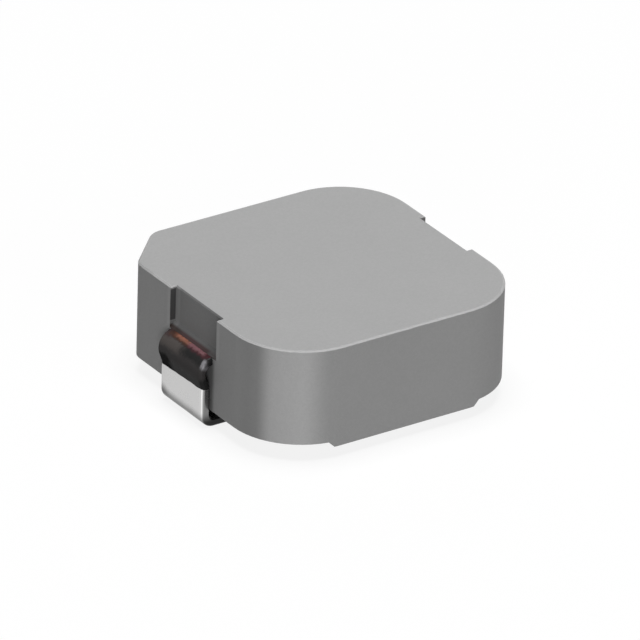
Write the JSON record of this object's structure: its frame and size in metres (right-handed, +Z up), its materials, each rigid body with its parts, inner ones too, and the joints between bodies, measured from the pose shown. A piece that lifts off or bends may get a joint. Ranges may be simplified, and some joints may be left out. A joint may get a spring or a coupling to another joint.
{
  "type": "shielded smd inductor",
  "caption": "Low square power inductor: a rectangular-wire coil pressed inside a grey magnetic powder body, with its flattened wire ends folded under as solder pads.",
  "frame": {"origin": "middle of the part on the circuit board's surface, at the height of the pads' undersides", "axes": "+Z up, away from the board; X from the start terminal (-X) to the finish terminal (+X); the flat corner that marks the start is at -X +Y"},
  "size_m": [0.011, 0.01, 0.004],
  "materials": {
    "pressed_powder": "matte",
    "copper": "satin",
    "enamel": "gloss",
    "tin": "satin"
  },
  "bodies": {
    "root": {"moulded_core": "pressed_powder", "coil_wire": "copper", "start_lead_enamel": "enamel", "finish_lead_enamel": "enamel", "start_lead_tin": "tin", "finish_lead_tin": "tin"}
  },
  "joints": []
}
